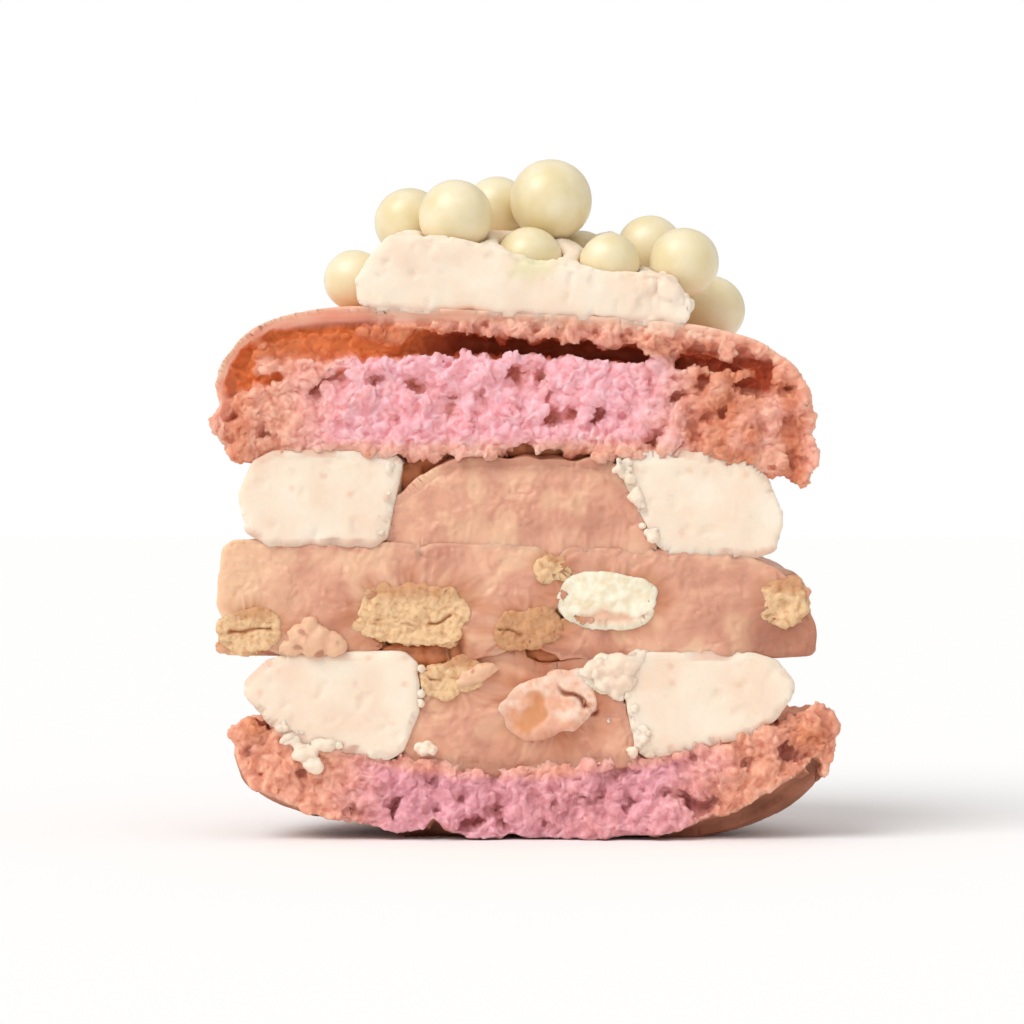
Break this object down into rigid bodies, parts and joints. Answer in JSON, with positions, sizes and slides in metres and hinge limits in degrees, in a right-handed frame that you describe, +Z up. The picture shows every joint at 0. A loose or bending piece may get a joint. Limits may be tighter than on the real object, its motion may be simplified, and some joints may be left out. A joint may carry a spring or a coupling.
{
  "type": "french macaron",
  "caption": "Cut half of a tall filled macaron: two almond shells, buttercream rings round ganache, a slab with biscuit pieces, and pearls on cream.",
  "frame": {"origin": "under the middle of the bounding box, on the surface that the piece stands on", "axes": "+Z up through the layers, -Y out of the cut face, +Y towards the round back, +X to the right seen from the cut face"},
  "size_m": [0.052, 0.0258, 0.056],
  "materials": {
    "shell": null,
    "buttercream": null,
    "ganache": null,
    "biscuit": null,
    "berry": null,
    "white_chocolate": null,
    "pearl": null
  },
  "bodies": {
    "root": {"lower_shell": "shell", "lower_ring": "buttercream", "lower_core": "ganache", "slab": "ganache", "upper_ring": "buttercream", "upper_core": "ganache", "upper_shell": "shell", "cream_mound": "buttercream", "biscuit_large": "biscuit", "biscuit_crumb": "biscuit", "biscuit_right": "biscuit", "biscuit_left": "biscuit", "biscuit_brown": "biscuit", "biscuit_under": "biscuit", "white_chunk_large": "white_chocolate", "white_chunk_small": "white_chocolate", "berry_chunk": "berry", "pearl_01": "pearl", "pearl_02": "pearl", "pearl_03": "pearl", "pearl_04": "pearl", "pearl_05": "pearl", "pearl_06": "pearl", "pearl_07": "pearl", "pearl_08": "pearl", "pearl_09": "pearl", "pearl_10": "pearl", "pearl_11": "pearl", "pearl_12": "pearl", "pearl_13": "pearl", "pearl_14": "pearl", "pearl_15": "pearl", "pearl_16": "pearl", "pearl_17": "pearl", "pearl_18": "pearl"}
  },
  "joints": []
}
